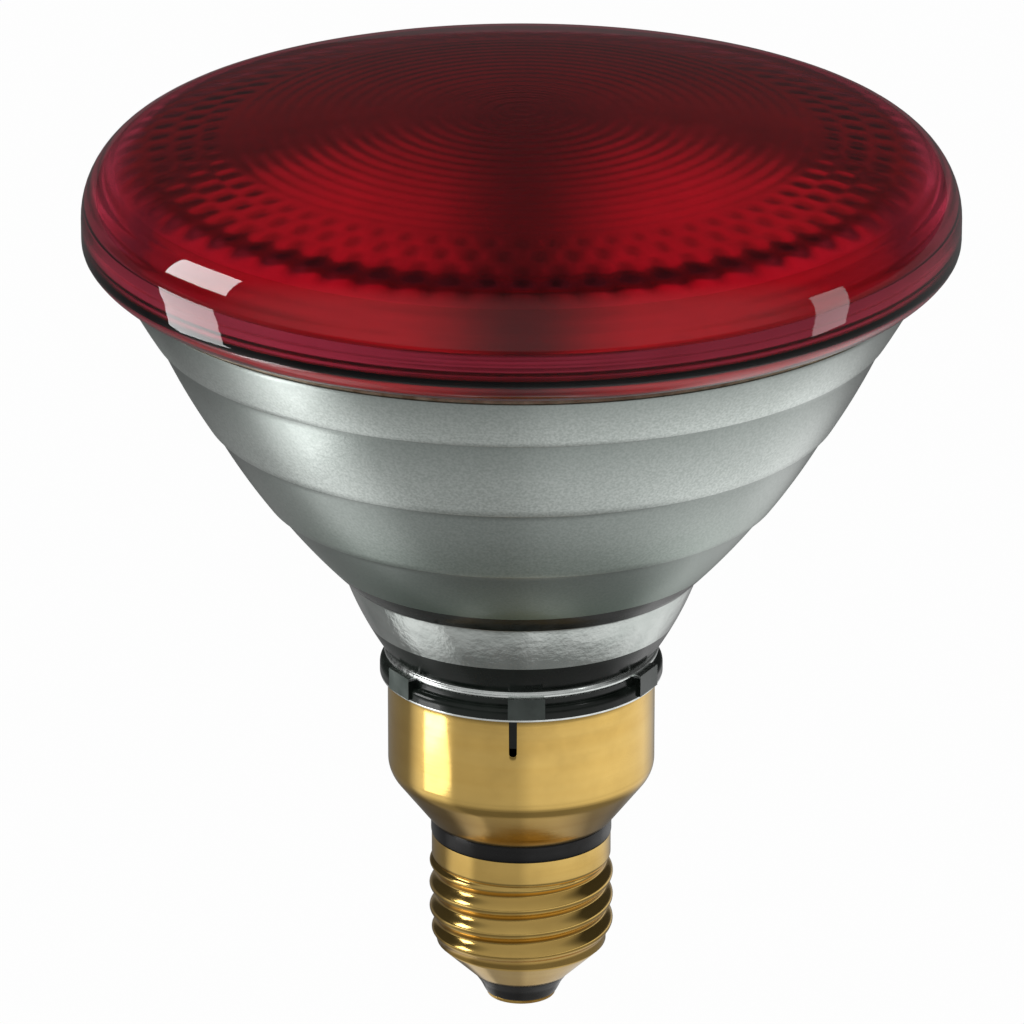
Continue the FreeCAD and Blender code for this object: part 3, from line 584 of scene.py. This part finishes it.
def reflectorBowl():
    low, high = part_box("reflector_bowl")
    rim, top, foot = high.x / mm, high.z / mm, low.z / mm
    lip, lipHeight, ledge = reflector["lipRadius"], reflector["lipHeight"], reflector["ledge"]
    depth = top - lipHeight
    gain = (rim - reflector["rimSet"]) ** 2 - lip ** 2

    def flare(share):  # the parabola's radius at a share of its depth
        return math.sqrt(lip ** 2 + gain * share)

    curve = reflector["bandCurve"]
    bands = []
    start = (lip, lipHeight)
    for share in reflector["bandFeet"]:
        height = lipHeight + depth * share
        bands.append((*start, curve, 10))
        bands.append((flare(share) - ledge / 2, height, 0, 1))
        start = (flare(share) + ledge / 2, height)
    bands.append((*start, curve, 8))
    middle = reflector["bandFeet"][1]
    neckRadius = lip - reflector["lipDepth"]
    collar, collarRound = reflector["collarRadius"], reflector["collarRound"]
    corners = [
        (0, foot, 0, 4),
        (reflector["heelRadius"], foot, 0, 3),
        (reflector["heelRadius"], reflector["collarLow"], 0, 1),
        (collar, reflector["collarLow"], 0, 1),
        (collar, reflector["lugLow"], 0, 1),
        (collar, reflector["lugLow"] + reflector["lugFoot"], 0, 2),
        (collar, reflector["collarTop"] - collarRound, collarRound, 5),
        (collar - collarRound, reflector["collarTop"], 0, 2),
        (reflector["neckWaist"], reflector["beadLow"], reflector["beadRound"], 5),
        (reflector["neckWaist"], reflector["beadHigh"], reflector["neckCurve"], 14),
        (neckRadius, reflector["neckHigh"], 0, 3),
        (lip - ledge, lipHeight - ledge, 0, 1),
    ] + bands + [
        (rim, top, 0, 1),
        (rim - reflector["sealWidth"], top, -reflector["innerHigh"], 16),
        (flare(middle) - reflector["wall"], lipHeight + depth * middle, -reflector["innerLow"], 16),
        (neckRadius - reflector["wall"], lipHeight, 0, 12),
        (reflector["floorRadius"], reflector["floor"], 0, 6),
        (0, reflector["floor"]),
    ]
    outline = softenOutline(traceOutline(corners), reflector["cornerCut"], steps=3)
    padRadius = collar + reflector["lugProud"]
    flank = math.asin(reflector["lugWidth"] / 2 / padRadius)
    lug = np.linspace(-flank, flank, reflector["lugColumns"])
    turn, fromMiddle = repeatRound(lug, reflector["flankHair"], reflector["plainColumns"],
                                   reflector["lugs"], reflector["lugTurn"])
    radius = np.repeat(outline[:, :1], turn.size, axis=1)
    height = np.repeat(outline[:, 1:], turn.size, axis=1)
    # a lug is a flat pad: the chord's distance over the cosine of the angle from its middle
    onLug = np.abs(fromMiddle) <= flank + tiny
    pad = padRadius * math.cos(flank) / np.cos(np.where(onLug, fromMiddle, 0))
    outerRow = (np.arange(len(outline)) < len(outline) // 2)[:, None]
    inLug = outerRow & (height > reflector["lugLow"]) & (height < reflector["lugHigh"]) & onLug
    radius = np.where(inLug, np.maximum(radius, pad), radius)
    # each strip takes its finish from where it lies along the outline
    coats = {"satin": satinSilver, "polished": polishedSilver, "mirror": mirrorCoat, "bare": shadedBareGlass,
             "lug": litLugGlass, "bead": beadSilver}
    number = {coat: i for i, coat in enumerate(coats)}
    zoneCoats = np.array([number[coat] for coat, end in reflector["zones"]] + [number["satin"]])
    zoneEnds = [reflector[end] for coat, end in reflector["zones"]]
    level = (outline[:-1, 1] + outline[1:, 1]) / 2
    inside = np.arange(len(level)) > np.argmax(outline[:, 1])
    lining = np.where(level > lipHeight, number["mirror"], number["polished"])
    finishes = np.where(inside, lining, zoneCoats[np.searchsorted(zoneEnds, level)])
    lugFaces = inLug[:-1] & inLug[1:] & np.roll(inLug, -1, axis=1)[:-1]
    finishes = np.where(lugFaces, number["lug"], finishes[:, None])
    # how far up its own band a row lies, 0 at the foot and 1 under the next ledge: the satin's painted
    # shade
    edges = lipHeight + depth * np.array((0, *reflector["bandFeet"], 1))
    lift = np.clip(outline[:, 1], edges[0], edges[-1])
    band = np.searchsorted(edges, lift + reflector["bandSlack"], side="right") - 1
    band = np.clip(band, 0, len(edges) - 2)
    shade = np.clip((lift - edges[band]) / (edges[band + 1] - edges[band]), 0, 1)
    piece = gridPiece("reflectorBowl", spin(radius, height, turn), finishes=finishes, shade=shade[:, None])
    dress(piece, coats.values(), "silvered_glass", "reflector_bowl")


reflectorBowl()


# Brass skirt: cone, bend and cylinder in one wall, four round-ended slots in its upper edge.
skirt = {
    "radius": 18.9, "wall": 0.5, "mouth": 13.1, "bendHeight": 36.3, "bendRadius": 4.0, "flangeHole": 11.05,
    "cornerCut": 0.12, "slots": 4, "slotWidth": 1.1, "slotDepth": 5.7, "slotTurn": -3.6, "slotColumns": 11,
    "plainColumns": 50, "flankHair": 0.0012,
}


def capSkirt():
    low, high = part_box("cap_skirt")
    radius, foot, top = skirt["radius"], low.z / mm, high.z / mm
    wall, bend = skirt["wall"], skirt["bendHeight"]
    run, rise = radius - skirt["mouth"], bend - foot
    slant = math.hypot(run, rise)
    setBack = skirt["bendRadius"] * run / (slant + rise)
    lowBend = (radius - setBack * run / slant, bend - setBack * rise / slant)
    wallIn, wallUp = wall * rise / slant, wall * run / slant
    start = bend + setBack
    corners = [
        (skirt["flangeHole"], foot, 0, 2),
        (skirt["mouth"], foot, 0, 8),
        (*lowBend, skirt["bendRadius"], 7),
        (radius, start, 0, 10),
        (radius, top, 0, 1),
        (radius - wall, top, 0, 10),
        (radius - wall, start, -(skirt["bendRadius"] - wall), 7),
        (lowBend[0] - wallIn, lowBend[1] + wallUp, 0, 8),
        (skirt["mouth"] - wall * (slant - run) / rise, foot + wall, 0, 2),
        (skirt["flangeHole"], foot + wall, 0, 1),
    ]
    outline = softenOutline(traceOutline(corners, True), skirt["cornerCut"], True)
    half = skirt["slotWidth"] / 2 / radius
    slot = half * np.sin(np.linspace(-math.pi / 2, math.pi / 2, skirt["slotColumns"]))
    turn, fromMiddle = repeatRound(slot, skirt["flankHair"], skirt["plainColumns"], skirt["slots"],
                                   skirt["slotTurn"])
    # the slot lowers the wall's upper edge to a half-round foot; the wall below shares the drop
    roundFoot = skirt["slotWidth"] / 2 * (1 - np.sqrt(np.maximum(1 - (fromMiddle / half) ** 2, 0)))
    drop = np.where(np.abs(fromMiddle) <= half + tiny, skirt["slotDepth"] - roundFoot, 0)
    share = np.clip((outline[:, 1:] - start) / (top - start), 0, 1)
    height = outline[:, 1:] - drop * share
    piece = gridPiece("capSkirt", spin(outline[:, :1], height, turn), True)
    dress(piece, (skirtBrass,), "brass", "cap_skirt")


capSkirt()


# Black ring with a spigot on each side.
spacer = {
    "low": 26.2, "high": 28.8, "bore": 8.6, "spigot": 10.85, "lowSpigot": 11.4, "cornerCut": 0.35,
    "cornerSteps": 5, "columns": 200,
}


def insulatorRing():
    low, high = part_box("insulator_ring")
    outside, foot, top = high.x / mm, low.z / mm, high.z / mm
    corners = np.array([
        (spacer["bore"], foot), (spacer["lowSpigot"], foot), (spacer["lowSpigot"], spacer["low"]),
        (outside, spacer["low"]), (outside, spacer["high"]), (spacer["spigot"], spacer["high"]),
        (spacer["spigot"], top), (spacer["bore"], top),
    ])
    outline = softenOutline(corners, spacer["cornerCut"], True, spacer["cornerSteps"])
    piece = turnedPiece("insulatorRing", outline, spacer["columns"], True)
    dress(piece, (blackGlass,), "black_insulator", "insulator_ring")


insulatorRing()


# Screw shell: a thin wall whose outside swells along a right-hand helix and dies out at both ends.
shell = {
    "wall": 0.5, "root": 12.1, "crest": 13.1, "pitch": 3.629, "crestStart": 10.7, "crestPower": 0.85,
    "threadLow": 9.6, "threadHigh": 22.9, "growOver": 2.2, "fadeOver": 1.6, "collar": 12.75,
    "collarOver": 1.3, "mouth": 7.0, "coneTop": 9.4, "coneRows": 10, "wallRows": 140, "columns": 240,
    "sharpDegrees": 50,
}


def screwShell():
    low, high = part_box("screw_shell")
    foot, top = low.z / mm, high.z / mm
    root, coneTop = shell["root"], shell["coneTop"]
    rise = np.linspace(coneTop, top, shell["wallRows"])
    cone = stretch((shell["mouth"], foot), (root, coneTop), 0, shell["coneRows"])
    outer = np.vstack((cone, np.stack((np.full_like(rise, root), rise), axis=1)))
    bore, boreMouth = root - shell["wall"], shell["mouth"] - shell["wall"]
    inner = np.vstack((np.linspace((bore, top), (bore, coneTop), 12),
                       stretch((bore, coneTop), (boreMouth, foot), 0, 8)[1:],
                       [(boreMouth, foot)]))
    outline = np.vstack((outer, inner))
    turn = np.linspace(0, tau, shell["columns"], endpoint=False)[None, :]
    radius = np.repeat(outline[:, :1], turn.size, axis=1)
    height = np.repeat(outline[:, 1:], turn.size, axis=1)
    # along the helix the radius is root + depth times a raised cosine of the height past the crest
    side = np.arctan2(-np.cos(turn), np.sin(turn))  # the angle from +X
    past = (height - shell["crestStart"]) / shell["pitch"] - (side - math.pi) / tau
    swell = (0.5 + 0.5 * np.cos(tau * past)) ** shell["crestPower"]
    grow = smoothStep((height - shell["threadLow"]) / shell["growOver"])
    fade = smoothStep((shell["threadHigh"] - height) / shell["fadeOver"])
    thread = root + (shell["crest"] - root) * swell * grow * fade
    plain = smoothStep((height - shell["threadHigh"] + shell["collarOver"]) / shell["collarOver"])
    collar = root + (shell["collar"] - root) * plain
    row = np.arange(len(outline))[:, None]
    isWall = (row >= len(cone)) & (row < len(outer))
    radius = np.where(isWall, np.maximum(thread, collar), radius)
    piece = gridPiece("screwShell", spin(radius, height, turn), True, shell["sharpDegrees"])
    dress(piece, (shellBrass,), "brass", "screw_shell")


screwShell()


# Foot: black glass cone, brass eyelet, solder dot.
lampBase = {
    "glassHole": 1.25, "glassFoot": 5.1, "glassWaist": 5.9, "waistHeight": 3.0, "glassTop": 6.95,
    "stepRadius": 6.45, "shellLow": 4.5, "coneTop": 9.4, "dish": 2.0, "glassCut": 0.3,
    "glassColumns": 160, "eyeletFlat": 3.3, "eyeletEdge": 0.9, "shank": 1.2, "bore": 0.7,
    "eyeletCut": 0.15, "eyeletColumns": 120, "dotFlat": 2.3, "dotRound": 0.8, "dotColumns": 90,
}


def lampFoot():
    low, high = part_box("base_insulator")
    inner, bottom, top = high.x / mm, low.z / mm, high.z / mm
    glass = traceOutline([
        (lampBase["glassHole"], bottom, 0, 2),
        (lampBase["glassFoot"], bottom, 0, 3),
        (lampBase["glassWaist"], lampBase["waistHeight"], 0, 3),
        (lampBase["glassTop"], lampBase["shellLow"], 0, 1),
        (lampBase["stepRadius"], lampBase["shellLow"], 0, 3),
        (inner, lampBase["coneTop"], 0, 2),
        (inner, top, 0, 3),
        (lampBase["glassHole"], top - lampBase["dish"], 0, 4),
    ], True)
    glass = softenOutline(glass, lampBase["glassCut"], True)
    piece = turnedPiece("footGlass", glass, lampBase["glassColumns"], True)
    dress(piece, (blackGlass,), "black_insulator", "base_insulator")
    low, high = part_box("centre_contact")
    edge, bottom, top = high.x / mm, low.z / mm, high.z / mm
    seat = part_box("base_insulator")[0].z / mm
    eyelet = traceOutline([
        (lampBase["bore"], bottom, 0, 2),
        (lampBase["eyeletFlat"], bottom, 0, 2),
        (edge, lampBase["eyeletEdge"], 0, 1),
        (edge, seat, 0, 3),
        (lampBase["shank"], seat, 0, 3),
        (lampBase["shank"], top, 0, 1),
        (lampBase["bore"], top, 0, 4),
    ], True)
    eyelet = softenOutline(eyelet, lampBase["eyeletCut"], True)
    piece = turnedPiece("contactEyelet", eyelet, lampBase["eyeletColumns"], True)
    dress(piece, (contactBrass,), "brass", "centre_contact")
    low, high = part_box("contact_solder")
    edge, top = high.x / mm, high.z / mm
    dot = traceOutline([
        (0, 0, 0, 4),
        (lampBase["dotFlat"], 0, lampBase["dotRound"], 5),
        (edge, top, 0, 4),
        (0, top),
    ])
    piece = turnedPiece("solderDot", dot, lampBase["dotColumns"])
    dress(piece, (solder,), "solder", "contact_solder")


lampFoot()


# Filament: a round wire carried along a helix about X; each section lies in the helix's own normal plane.
coil = {
    "turns": 34, "wire": 0.15, "sides": 10, "stepsPerTurn": 20, "lead": 0.9, "straight": 1e-3,
    "sharpDegrees": 60,
}


def filamentCoil():
    low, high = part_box("filament")
    start, end = low.x / mm, high.x / mm
    middle = (low.z + high.z) / 2 / mm
    outside = (high.z - low.z) / 2 / mm
    t = np.linspace(0, 1, coil["turns"] * coil["stepsPerTurn"] + 1)
    swing = (outside - coil["wire"]) * smoothStep(np.minimum(t, 1 - t) * coil["turns"] / coil["lead"])
    angle = tau * coil["turns"] * t
    across, up = swing * np.cos(angle), middle + swing * np.sin(angle)
    path = np.stack((start + (end - start) * t, across, up), axis=1)
    along = np.gradient(path, axis=0)
    along /= np.linalg.norm(along, axis=1)[:, None]
    # one side of a section is square to the wire and to X, or to the front where the wire runs along X
    side = np.cross(along, (1.0, 0.0, 0.0))
    side = np.where(np.linalg.norm(side, axis=1)[:, None] > coil["straight"], side, (0.0, -1.0, 0.0))
    side -= along * np.einsum("ij,ij->i", side, along)[:, None]
    side /= np.linalg.norm(side, axis=1)[:, None]
    other = np.cross(along, side)
    around = np.linspace(0, tau, coil["sides"], endpoint=False)[None, :, None]
    grid = path[:, None] + coil["wire"] * (np.cos(around) * side[:, None] + np.sin(around) * other[:, None])
    ends = [np.repeat(path[i][None, None], coil["sides"], axis=1) for i in (0, -1)]
    grid = np.concatenate((ends[0], grid, ends[1])) * mm
    piece = gridPiece("filamentCoil", grid, False, coil["sharpDegrees"])
    dress(piece, (tungsten,), "tungsten", "filament")


filamentCoil()

# Pieces inside keep their own solids and get their finish.
insideFinishes = {
    "exhaust_tube": tubeGlass, "ferrule_left": nickel, "ferrule_right": nickel, "lead_post_left": nickel,
    "lead_post_right": nickel, "shell_lead": nickel, "contact_lead": nickel,
}
for node, finish in insideFinishes.items():
    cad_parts[node].data.materials.clear()
    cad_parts[node].data.materials.append(finish)
print("pieces dressed")


# Stage: pale floor, white to the camera with a trace of the shadow. Metal sees the floor glow in a painted
# pattern of light and shade, painted pools of light at the sides and painted shade behind and near the
# lamp, and the surroundings brighter in front; glass sees them brighter at the sides. Stops are a position
# and a
# level: turn by the turn from the back by the left, reach by the distance from the axis, front from front
# to back, through from left to right.
stage = {
    "floorSpan": 4.0, "floorTone": (0.30, 0.30, 0.30, 1), "cameraWhite": 0.985, "worldLevel": 0.25,
    "worldGloss": 0.05, "paperThrough": 0.15, "paperReach": 0.3,
    "frontStops": ((0.0, 0.5), (0.3, 0.4), (0.48, 0.05)),
    "throughStops": ((0.0, 0.9), (0.2, 0.9), (0.42, 0.03), (0.58, 0.03), (0.8, 0.85)),
    "paintedTurnStops": ((0.0, 0.14), (0.205, 0.14), (0.245, 1.0), (0.32, 1.0), (0.345, 0.45), (0.49, 0.5),
                   (0.53, 0.8), (0.6, 0.88), (0.7, 1.0), (0.84, 1.0), (0.95, 0.14)),
    "paintedReachStops": ((0.0, 0.6), (0.05, 0.6), (0.08, 0.2), (0.14, 0.18), (0.2, 0.7), (0.24, 0.9),
                   (0.3, 0.8), (0.37, 1.0), (0.45, 1.0), (0.58, 0.35), (0.93, 0.15)),
}


# A level read off straight lines between stops.
def levelRamp(nodes, value, stops):
    ramp = nodes.add("ShaderNodeValToRGB", {0: value})
    elements = ramp.color_ramp.elements
    for stop in stops[2:]:
        elements.new(stop[0])
    for element, (spot, level) in zip(elements, stops):
        element.position = spot
        element.color = (level, level, level, 1)
    return ramp.outputs[0]


# Floor: a diffuse paper mixed with white by the largest of what camera, mirror and glass should see;
# for mirrors the white follows a painted pattern of light and shade.
def paleFloor():
    mesh = bpy.data.meshes.new("paleFloor")
    corners = np.array([(-1, -1, 0), (1, -1, 0), (1, 1, 0), (-1, 1, 0)]) * stage["floorSpan"]
    mesh.from_pydata(corners.tolist(), [], [(0, 1, 2, 3)])
    floor = addObject("paleFloor", mesh)
    material = bpy.data.materials.new("floorPaper")
    material.use_nodes = True
    nodes = Nodes(material.node_tree)
    material.node_tree.nodes.remove(material.node_tree.nodes["Principled BSDF"])
    paper = nodes.add("ShaderNodeBsdfDiffuse", {"Color": stage["floorTone"]})
    white = nodes.add("ShaderNodeEmission", {"Color": (1, 1, 1, 1), "Strength": 1.0})
    path = nodes.add("ShaderNodeLightPath")
    parts = nodes.add("ShaderNodeSeparateXYZ", {0: nodes.add("ShaderNodeTexCoord").outputs["Object"]})
    leftward = nodes.math("MULTIPLY", parts.outputs[0], -1.0)
    angle = nodes.math("ARCTAN2", leftward, parts.outputs[1])
    angle = nodes.math("FRACT", nodes.math("ADD", nodes.math("DIVIDE", angle, tau), 1.0))
    paintedLightByTurn = levelRamp(nodes, angle, stage["paintedTurnStops"])
    reach = nodes.math("DIVIDE", nodes.axisDistance(parts), stage["paperReach"])
    paintedLightByReach = levelRamp(nodes, reach, stage["paintedReachStops"])
    # painted light and shade on the floor, seen only by mirrors
    paintedLightShade = nodes.math("MULTIPLY", paintedLightByTurn, paintedLightByReach)
    paintedLightShade = nodes.math("MULTIPLY", nodes.plainGloss(path), paintedLightShade)
    through = nodes.math("MULTIPLY", path.outputs["Is Transmission Ray"], stage["paperThrough"])
    seen = nodes.math("MULTIPLY", path.outputs["Is Camera Ray"], stage["cameraWhite"])
    factor = nodes.math("MAXIMUM", seen, nodes.math("MAXIMUM", paintedLightShade, through))
    mixed = nodes.add("ShaderNodeMixShader", {0: factor, 1: paper.outputs[0], 2: white.outputs[0]})
    material.node_tree.links.new(mixed.outputs[0], material.node_tree.nodes["Material Output"].inputs[0])
    mesh.materials.append(material)


# Surroundings: the largest of a base level, the front for mirrors, the sides for glass, and white for
# the camera.
def studioWorld():
    world = bpy.data.worlds.new("studio")
    bpy.context.scene.world = world
    world.use_nodes = True
    nodes = Nodes(world.node_tree)
    sky = world.node_tree.nodes["Background"]
    path = nodes.add("ShaderNodeLightPath")
    level = nodes.span(path.outputs["Is Glossy Ray"], 0.0, 1.0, stage["worldLevel"], stage["worldGloss"])
    way = nodes.add("ShaderNodeSeparateXYZ", {0: nodes.add("ShaderNodeTexCoord").outputs["Generated"]})
    front = levelRamp(nodes, nodes.span(way.outputs[1], -1.0, 1.0, 0.0, 1.0), stage["frontStops"])
    level = nodes.math("MAXIMUM", level, nodes.math("MULTIPLY", nodes.plainGloss(path), front))
    sides = levelRamp(nodes, nodes.span(way.outputs[0], -1.0, 1.0, 0.0, 1.0), stage["throughStops"])
    level = nodes.math("MAXIMUM", level, nodes.math("MULTIPLY", path.outputs["Is Transmission Ray"], sides))
    level = nodes.math("MAXIMUM", level, path.outputs["Is Camera Ray"])
    world.node_tree.links.new(level, sky.inputs["Strength"])
    sky.inputs["Color"].default_value = (1, 1, 1, 1)


# Soft lamps that the camera never sees: one close to each side of the rim, one at the left, two on the
# floor at the left that shine upward.
panels = {
    "leftPanel": {"at": (-0.0487, -0.0405, 0.127), "aim": (0.0278, 0.0239, 0.127),
                  "size": (0.0145, 0.0058), "watts": 0.003},
    "leftLower": {"at": (-0.16, -0.031, 0.0765), "aim": (0, -0.031, 0.0765),
                  "size": (0.05, 0.063), "watts": 0.063},
    "lowPanel": {"at": (-0.103, -0.034, 0.001), "aim": (-0.1029, -0.034, 0.2),
                 "size": (0.05, 0.023), "watts": 0.006},
    "lowOuter": {"at": (-0.126, -0.034, 0.001), "aim": (-0.1259, -0.034, 0.2),
                 "size": (0.05, 0.022), "watts": 0.0145},
    "rightPanel": {"at": (0.0633, -0.046, 0.1194), "aim": (-0.0132, 0.0184, 0.1194),
                   "size": (0.0115, 0.019), "watts": 0.002},
}


# Turns an object so that its -Z looks at a point, with its Y up.
def aimAt(thing, point):
    thing.rotation_euler = (Vector(point) - thing.location).to_track_quat("-Z", "Y").to_euler()


def softPanels():
    for name, look in panels.items():
        lamp = bpy.data.lights.new(name, "AREA")
        lamp.shape = "RECTANGLE"
        lamp.size, lamp.size_y = look["size"]
        lamp.energy = look["watts"]
        panel = addObject(name, lamp)
        panel.location = look["at"]
        aimAt(panel, look["aim"])
        panel.visible_camera = False
        panel.visible_transmission = False


# Camera: the photograph's long lens, a little above the rim, aimed just left of the axis.
view = {
    "distance": 1.2, "elevation": 21.5, "pivot": 0.068, "aimHeight": 0.07447, "aside": -0.00131,
    "lens": 299.8, "sensor": 36.0, "farEnd": 50.0,
}


def photoCamera():
    camera = bpy.data.cameras.new("photoCamera")
    camera.lens = view["lens"]
    camera.sensor_width = view["sensor"]
    camera.clip_end = view["farEnd"]
    eye = addObject("photoCamera", camera)
    tilt = math.radians(view["elevation"])
    rise = view["pivot"] + view["distance"] * math.sin(tilt)
    eye.location = (view["aside"], -view["distance"] * math.cos(tilt), rise)
    aimAt(eye, (view["aside"], 0, view["aimHeight"]))
    bpy.context.scene.camera = eye


paleFloor()
studioWorld()
softPanels()
photoCamera()
bpy.context.scene.view_settings.view_transform = "Standard"
print("stage set")
